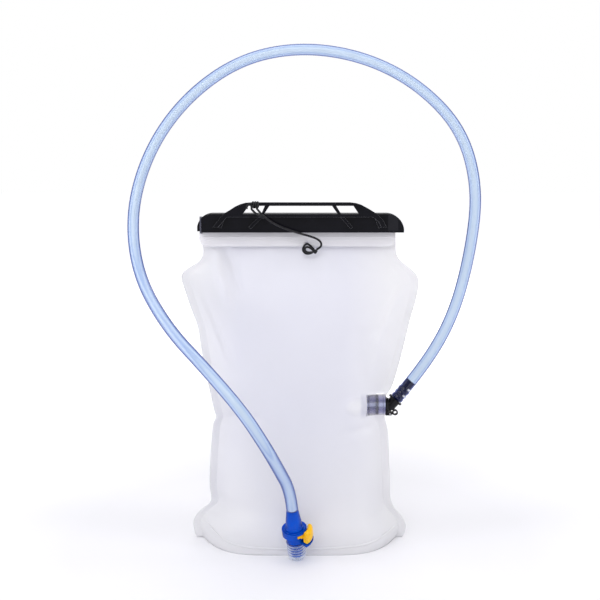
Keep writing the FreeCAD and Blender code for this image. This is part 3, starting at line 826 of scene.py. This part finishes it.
# Height and half width of each side, to the outer edge of the side weld, in millimetres.
RIGHT_EDGE = [
    (0, 90.5), (5, 93.0), (12, 93.5), (20, 89.5), (28, 83.0), (36, 80.0), (50, 79.3), (75, 78.0),
    (98, 76.6), (108, 74.2), (112, 73.4), (121, 73.6), (129, 74.2), (134, 78.0), (140, 80.8),
    (166, 88.0), (196, 94.8), (214, 99.6), (224, 101.4), (231, 101.2), (236, 98.6), (242, 91.8),
    (248, 84.6), (254, 82.0), (262, 81.4), (269, 81.2),
]
LEFT_EDGE = [
    (0, 91.5), (6, 93.6), (16, 94.0), (24, 89.0), (31, 80.5), (36, 78.2), (48, 79.6), (70, 78.8),
    (92, 77.0), (104, 75.6), (110, 73.2), (116, 74.8), (128, 77.4), (150, 82.0), (172, 85.6),
    (190, 88.4), (208, 94.6), (224, 99.4), (231, 101.4), (236, 100.6), (241, 94.5), (246, 86.4),
    (252, 83.0), (260, 82.8), (269, 82.8),
]
# Height, and how far each wall stands out in its middle.
DEPTHS = [
    (0, 42.6), (9, 42.2), (18, 41.0), (27, 39.0), (38, 36.4), (62, 31.5), (90, 27.6), (118, 25.0),
    (142, 23.4), (168, 21.4), (192, 19.0), (212, 16.0), (226, 12.4), (236, 9.0), (243, 6.2),
    (250, 3.8), (259, 1.3), (269, 0.7),
]
# Height, and the power of the wall's curve: the higher it is, the flatter the wall's middle.
FULLNESS = [(0, 5.0), (18, 4.6), (38, 3.8), (62, 3.2), (90, 2.8), (142, 2.6), (269, 2.4)]


def smooth_step(t):
    t = min(max(t, 0.0), 1.0)
    return t * t * (3 - 2 * t)


def along_table(table, height):
    """A smooth value between the rows of a table of (height, value)."""
    if height <= table[0][0]:
        return table[0][1]
    for k in range(len(table) - 1):
        z0, v0 = table[k]
        z1, v1 = table[k + 1]
        if height <= z1:
            gap = z1 - z0
            before = table[max(k - 1, 0)]
            after = table[min(k + 2, len(table) - 1)]
            slope0 = (v1 - before[1]) / (z1 - before[0]) * gap
            slope1 = (after[1] - v0) / (after[0] - z0) * gap
            t = (height - z0) / gap
            return ((2 * t**3 - 3 * t**2 + 1) * v0 + (t**3 - 2 * t**2 + t) * slope0
                    + (3 * t**2 - 2 * t**3) * v1 + (t**3 - t**2) * slope1)
    return table[-1][1]


PORT_COVER = 9.9                       # half depth of the film over the socket
PORT_COVER_HEIGHT = 9.5                # how far above and below the port's axis it falls off
PORT_COVER_START = 50.0                # x where the film begins to rise towards the socket
PORT_COVER_RUN = 9.0                   # how far it takes to reach its full depth


def port_swell(x, z):
    """How far the film stands off the middle plane round the port's socket."""
    reach = smooth_step((x - PORT_COVER_START) / PORT_COVER_RUN)
    return PORT_COVER * reach * math.exp(-((z - PORT_Z) / PORT_COVER_HEIGHT) ** 2)


# Soft folds: start, end (x, z), half width, height (towards the outside), in millimetres.
# A fold fades out past both its ends, within this share of its length.
FOLD_OVERRUN = 0.2
FRONT_FOLDS = [
    ((-76, 261), (-58, 208), 3.6, 3.2),
    ((-66, 262), (-50, 215), 4.0, -2.6),
    ((-92, 226), (-66, 165), 4.0, 3.2),
    ((-84, 214), (-58, 160), 4.2, -2.4),
    ((78, 258), (94, 234), 2.6, 1.8),
    ((72, 258), (88, 230), 3.0, -1.6),
    ((86, 222), (64, 178), 5.0, 2.8),
    ((66, 182), (62, 146), 6.0, 2.8),
    ((52, 190), (46, 150), 9.0, -1.6),
    ((-74, 111), (-34, 114), 3.2, -2.4),
    ((-72, 119), (-44, 122), 4.0, 1.2),
    ((74, 104), (36, 100), 3.6, -2.0),
    ((-91, 16), (-60, 44), 5.0, 1.8),
    ((-80, 12), (-58, 30), 5.0, -1.5),
    ((90, 14), (62, 42), 5.0, 1.8),
    ((80, 12), (56, 30), 5.0, -1.5),
    ((-26, 262), (-22, 236), 5.0, 0.8),
    ((18, 262), (24, 232), 5.0, 0.9),
    ((44, 262), (50, 238), 4.5, 0.8),
]


def fold_height(x, z, folds):
    """How far the folds together move the film at a place."""
    total = 0.0
    for (x0, z0), (x1, z1), width, height in folds:
        dx, dz = x1 - x0, z1 - z0
        length2 = dx * dx + dz * dz
        t = ((x - x0) * dx + (z - z0) * dz) / length2
        if t < -FOLD_OVERRUN or t > 1.0 + FOLD_OVERRUN:
            continue
        across = abs((x - x0) * dz - (z - z0) * dx) / math.sqrt(length2)
        ends = smooth_step((t + FOLD_OVERRUN) / 0.35) * smooth_step((1.0 + FOLD_OVERRUN - t) / 0.6)
        total += height * ends * math.exp(-(across / width) ** 2)
    return total


# The base's seal across each wall: x and height, in millimetres.
SEAL_LINE = [
    (-94, 20.8), (-85, 18.4), (-72, 12.4), (-60, 7.6), (-36, 5.4), (0, 4.8), (28, 5.6), (60, 7.6),
    (77, 11.4), (93, 13.4),
]


def seal_height(x):
    return along_table(SEAL_LINE, x)


def neck_offset(z):
    """The neck leans back by 1 mm, so that it meets the folded mouth's rear."""
    neck_start = 240.0
    return max(0.0, (z - neck_start) / (WALL_TOP - neck_start))


def film_slack(t, z):
    """How freely the film folds: 0 at its side welds, its foot and its mouth, 1 away from them."""
    return smooth_step((1.0 - abs(t)) / 0.18) * smooth_step(z / 14.0) * smooth_step((266.0 - z) / 16.0)


def wrinkles(x, z, seed):
    """Broad, low waves in the film, with finer ones over them."""
    broad = 0.5 * noise.noise(Vector((x / 40.0, z / 60.0, seed)))
    fine = 0.12 * noise.noise(Vector((x / 14.0, z / 18.0, seed + 7.0)))
    return broad + fine


def wall_point(side, t, z, folds, seed):
    """A point of one wall's outside; t runs from the left weld's inner edge to the right one's."""
    left = along_table(LEFT_EDGE, z) - WELD_WIDTH
    right = along_table(RIGHT_EDGE, z) - WELD_WIDTH
    x = t * right if t > 0 else t * left
    depth = along_table(DEPTHS, z)
    full = along_table(FULLNESS, z)
    puff = depth * (1.0 - abs(t) ** full)
    swell = port_swell(x, z)
    y = math.hypot(puff, swell) if swell > 0.05 else puff
    y += film_slack(t, z) * (fold_height(x, z, folds) + wrinkles(x, z, seed))
    y += SEAL_STEP * smooth_step((seal_height(x) - z) / 0.8)
    return Vector((x, neck_offset(z) + side * (y + WALL_GAP), z)) * MM


def weld_point(side, end, share, z):
    """A point of the flat side weld; share runs from its inner edge, 0, to the outside, 1."""
    outer = along_table(RIGHT_EDGE if end > 0 else LEFT_EDGE, z)
    x = end * (outer - WELD_WIDTH * (1.0 - share))
    lift = port_swell(x, z) if end > 0 else 0.0
    free = share * smooth_step((250.0 - z) / 30.0) * smooth_step(z / 25.0)
    wave = 0.5 * math.sin(z / 9.0 + end) * free
    return Vector((x, neck_offset(z) + wave + side * (lift + WALL_GAP), z)) * MM


def share_across(j, columns):
    """Where column j stands between the welds, from -1 to 1; the columns are closer near the welds."""
    return math.sin((-1.0 + 2.0 * j / columns) * math.pi / 2)


def bag_wall(name, side, folds, seed):
    """One wall as a thin closed shell with its two side welds."""
    rows = 150
    columns = 72
    weld_columns = 5
    points = []
    for i in range(rows + 1):
        z = WALL_TOP * i / rows
        for k in range(weld_columns):
            points.append(weld_point(side, -1, 1.0 - k / weld_columns, z))
        for j in range(columns + 1):
            points.append(wall_point(side, share_across(j, columns), z, folds, seed))
        for k in range(weld_columns):
            points.append(weld_point(side, 1, (k + 1) / weld_columns, z))
    width = columns + 1 + 2 * weld_columns
    faces = []
    for i in range(rows):
        for j in range(width - 1):
            a = i * width + j
            quad = (a, a + 1, a + 1 + width, a + width)
            faces.append(quad if side < 0 else quad[::-1])
    wall = mesh_object(name, points, faces)
    thicken(wall, WALL_FILM, INWARDS)
    return wall


FRONT_SEED = 1.0                       # the seeds of the two walls' wrinkles
REAR_SEED = 5.0
REAR_FOLDS = [
    ((-66, 262), (-48, 205), 6.0, 1.8),
    ((60, 262), (48, 200), 6.0, 1.8),
    ((-88, 215), (-66, 150), 8.0, 1.6),
    ((88, 212), (64, 150), 8.0, 1.6),
    ((-70, 112), (50, 116), 4.0, -1.2),
    ((-88, 16), (-60, 46), 6.0, 1.6),
    ((88, 16), (60, 46), 6.0, 1.6),
    ((0, 258), (6, 210), 9.0, 1.0),
]

front = bag_wall("bag_front_film", -1, FRONT_FOLDS, FRONT_SEED)
finish_piece(front, "bag", "bag_film", "front_panel")
rear = bag_wall("bag_rear_film", 1, REAR_FOLDS, REAR_SEED)
finish_piece(rear, "bag", "bag_film", "rear_panel")

# ---- base gusset ----


def plain_wall_point(side, t, z):
    """A point of a wall without its folds, with the front wall's wrinkles on both sides."""
    return wall_point(side, t, z, [], FRONT_SEED)


def skirt_point(side, t, z):
    """A point just inside a wall's skirt."""
    outside = plain_wall_point(side, t, z)
    inset = 1.1 * MM
    least_depth = 0.15 * MM
    return Vector((outside.x * 0.99, side * max(abs(outside.y) - inset, least_depth), z * MM))


SKIRT_OVERLAP = 1.5                    # how far above the seal's line the base film leaves the skirt


def skirt_reach(side, t):
    """How far out a place t of the wall is at the skirt, in millimetres."""
    return plain_wall_point(side, t, 8.0).x / MM


def base_film():
    """The film that closes the base: it is sealed to both walls above their skirts, and domes up."""
    low = 0.4
    columns = 60
    skirt_rows = 8
    dome_rows = 26
    dome_rise = 6.0
    crinkle = 0.8
    points = []
    for j in range(columns + 1):
        t = share_across(j, columns)
        seal = seal_height(skirt_reach(-1, t)) + SKIRT_OVERLAP
        for i in range(skirt_rows):
            points.append(skirt_point(-1, t, low + (seal - low) * i / skirt_rows))
        near = skirt_point(-1, t, seal)
        far = skirt_point(1, t, seal)
        for i in range(dome_rows + 1):
            share = i / dome_rows
            place = near.lerp(far, share)
            crown = 1.0 - (2.0 * share - 1.0) ** 2
            place.z += crown * dome_rise * (1.0 - t * t) * MM
            wave = noise.noise(Vector((place.x / MM / 16.0, place.y / MM / 12.0, 3.0)))
            place.z += crown * crinkle * wave * MM
            points.append(place)
        for i in range(skirt_rows):
            points.append(skirt_point(1, t, seal + (low - seal) * (i + 1) / skirt_rows))
    height = 2 * skirt_rows + dome_rows + 1
    faces = []
    for j in range(columns):
        for i in range(height - 1):
            a = j * height + i
            faces.append((a, a + height, a + height + 1, a + 1))
    base = mesh_object("bag_base_film", points, faces)
    thicken(base, BASE_FILM, INWARDS)
    return base


finish_piece(base_film(), "bag", "bag_film", "base_gusset")


BEAD_RISE = 0.6                        # height of the bead's middle over the seal's line


def seal_bead(name, side):
    """The pressed weld line along a wall's seal: a strip rooted in the film that stands just proud of it."""
    columns = 120
    profile = [(1.0, -0.3), (0.8, 0.35), (0.3, 0.5), (-0.3, 0.5), (-0.8, 0.35), (-1.0, -0.3)]
    points = []
    for j in range(columns + 1):
        t = share_across(j, columns)
        middle = seal_height(skirt_reach(side, t)) + BEAD_RISE
        for rise, proud in profile:
            place = plain_wall_point(side, t, middle + rise)
            points.append(place + Vector((0.0, side * proud * MM, 0.0)))
    rows = len(profile)
    faces = []
    for j in range(columns):
        for i in range(rows):
            a = j * rows + i
            b = j * rows + (i + 1) % rows
            faces.append((a, b, b + rows, a + rows))
    faces.append(tuple(range(rows)))
    faces.append(tuple(columns * rows + i for i in reversed(range(rows))))
    return mesh_object(name, points, faces)


for name, side in (("front_seal_bead", -1), ("rear_seal_bead", 1)):
    finish_piece(seal_bead(name, side), "bag", "bag_film")

# ---- folded mouth ----

MOUTH_LEFT = -85.3
MOUTH_RIGHT = 81.0
FLAP_TOP = 270.2
FLAP_TOP_Y = -1.8
FLAP_LEAN = 2.4                        # how much further forward its lower edge is
FLAP_BOTTOM = 259.4
FLAP_CORNER = 6.0
FLAP_WELDS = [(267.2, 0.18), (264.8, 0.14), (262.9, 0.1), (260.2, 0.3)]   # height, how far it stands out
WELD_LINE = 0.45                       # half width of one line of the flap's welds
TETHER_HOLE = (6.0, 261.8)             # x and height of the hole that the tether's loop goes through
TETHER_HOLE_RADIUS = 1.7


def flap_end(x):
    """Height of the flap's lower edge, which turns up at its two corners."""
    gap = min(x - MOUTH_LEFT, MOUTH_RIGHT - x)
    if gap >= FLAP_CORNER:
        return FLAP_BOTTOM
    rise = FLAP_CORNER - math.sqrt(max(FLAP_CORNER ** 2 - (FLAP_CORNER - gap) ** 2, 0.0))
    return FLAP_BOTTOM + rise


def folded_mouth():
    """The stiffer film of the mouth: up behind, over the fold, down in front and out over the neck."""
    fold = [(1.0, WALL_TOP), (1.0, 276.0), (1.0, 283.0), (0.6, 283.9), (0.0, 284.2), (-0.6, 283.9),
            (-1.0, 283.0), (-1.0, 276.0), (-1.1, 272.6), (FLAP_TOP_Y, FLAP_TOP)]
    columns = 130
    flap_rows = 44
    rows = len(fold) + flap_rows
    points = []
    for j in range(columns + 1):
        x = MOUTH_LEFT + (MOUTH_RIGHT - MOUTH_LEFT) * j / columns
        for y, z in fold:
            points.append(mm(x, y, z))
        end = flap_end(x)
        for i in range(1, flap_rows + 1):
            z = FLAP_TOP + (end - FLAP_TOP) * i / flap_rows
            drop = (FLAP_TOP - z) / (FLAP_TOP - FLAP_BOTTOM)
            y = FLAP_TOP_Y - FLAP_LEAN * drop
            for weld, proud in FLAP_WELDS:
                y -= proud * math.exp(-((z - weld) / WELD_LINE) ** 2)
            y -= drop * 0.5 * noise.noise(Vector((x / 17.0, z / 9.0, 2.0)))
            points.append(mm(x, y, z))
    faces = []
    for j in range(columns):
        for i in range(rows - 1):
            a = j * rows + i
            middle = points[a].lerp(points[a + rows + 1], 0.5) / MM
            from_hole = math.hypot(middle.x - TETHER_HOLE[0], middle.z - TETHER_HOLE[1])
            if from_hole > TETHER_HOLE_RADIUS:
                faces.append((a, a + 1, a + rows + 1, a + rows))
    mouth = mesh_object("folded_mouth_film", points, faces)
    thicken(mouth, MOUTH_FILM, BOTH_WAYS)
    return mouth


finish_piece(folded_mouth(), "bag", "mouth_film", "mouth_band")

# ---- floor ----


def make_floor():
    """A pale floor with a painted glow: weakest round the object, which paints shade near it, and strong
    enough far off to fade into the white surround.
    """
    floor = mesh_object("floor", [(-6, -6, 0), (6, -6, 0), (6, 6, 0), (-6, 6, 0)], [(0, 1, 2, 3)])
    material = new_material("floor", (0.80, 0.795, 0.83), 0.75, Specular_IOR_Level=0.2)
    vary_colour(material, noise_texture(material, 3.0), (0.795, 0.79, 0.83), (0.805, 0.80, 0.84))
    links = material.node_tree.links
    shader = shader_of(material)
    shader.inputs["Emission Color"].default_value = (1.0, 1.0, 1.0, 1.0)
    coordinates = add_node(material, "ShaderNodeTexCoord")
    distance = add_node(material, "ShaderNodeVectorMath", operation="LENGTH")
    links.new(coordinates.outputs["Object"], distance.inputs[0])
    # Painted light: the glow grows with distance from the object, so the floor is painted darker near it.
    glow = span(material, distance.outputs["Value"], 0.2, 0.9, 0.07, 0.6)
    links.new(glow, shader.inputs["Emission Strength"])
    floor.data.materials.append(material)


make_floor()
make_world(shown=1.0, low=0.3, high=0.6)
make_area_light("overhead", (0.0, -0.1, 1.9), (0, 0, 0.0), (1.6, 1.2), 9.0)
make_area_light("key", (-0.4, -1.6, 1.5), (0, 0, 0.12), (1.6, 1.0), 13.0)
make_area_light("left", (-1.5, -0.4, 0.8), (0, 0, 0.2), (0.5, 1.4), 7.0)
make_area_light("right", (1.5, -0.4, 0.8), (0, 0, 0.2), (0.5, 1.4), 7.0)
make_area_light("behind", (0.2, 1.5, 1.2), (0, 0, 0.2), (1.6, 1.0), 7.0)

# ---- CAD pieces that show as they are ----

record_slots = {s["node"]: s["material_slot"] for s in frame["record"]["subparts"]}
for name, node in frame["nodes"].items():
    if not node.hide_render:
        node.data.materials.clear()
        node.data.materials.append(NODE_MATERIALS.get(name, MATERIALS[record_slots[name]]))
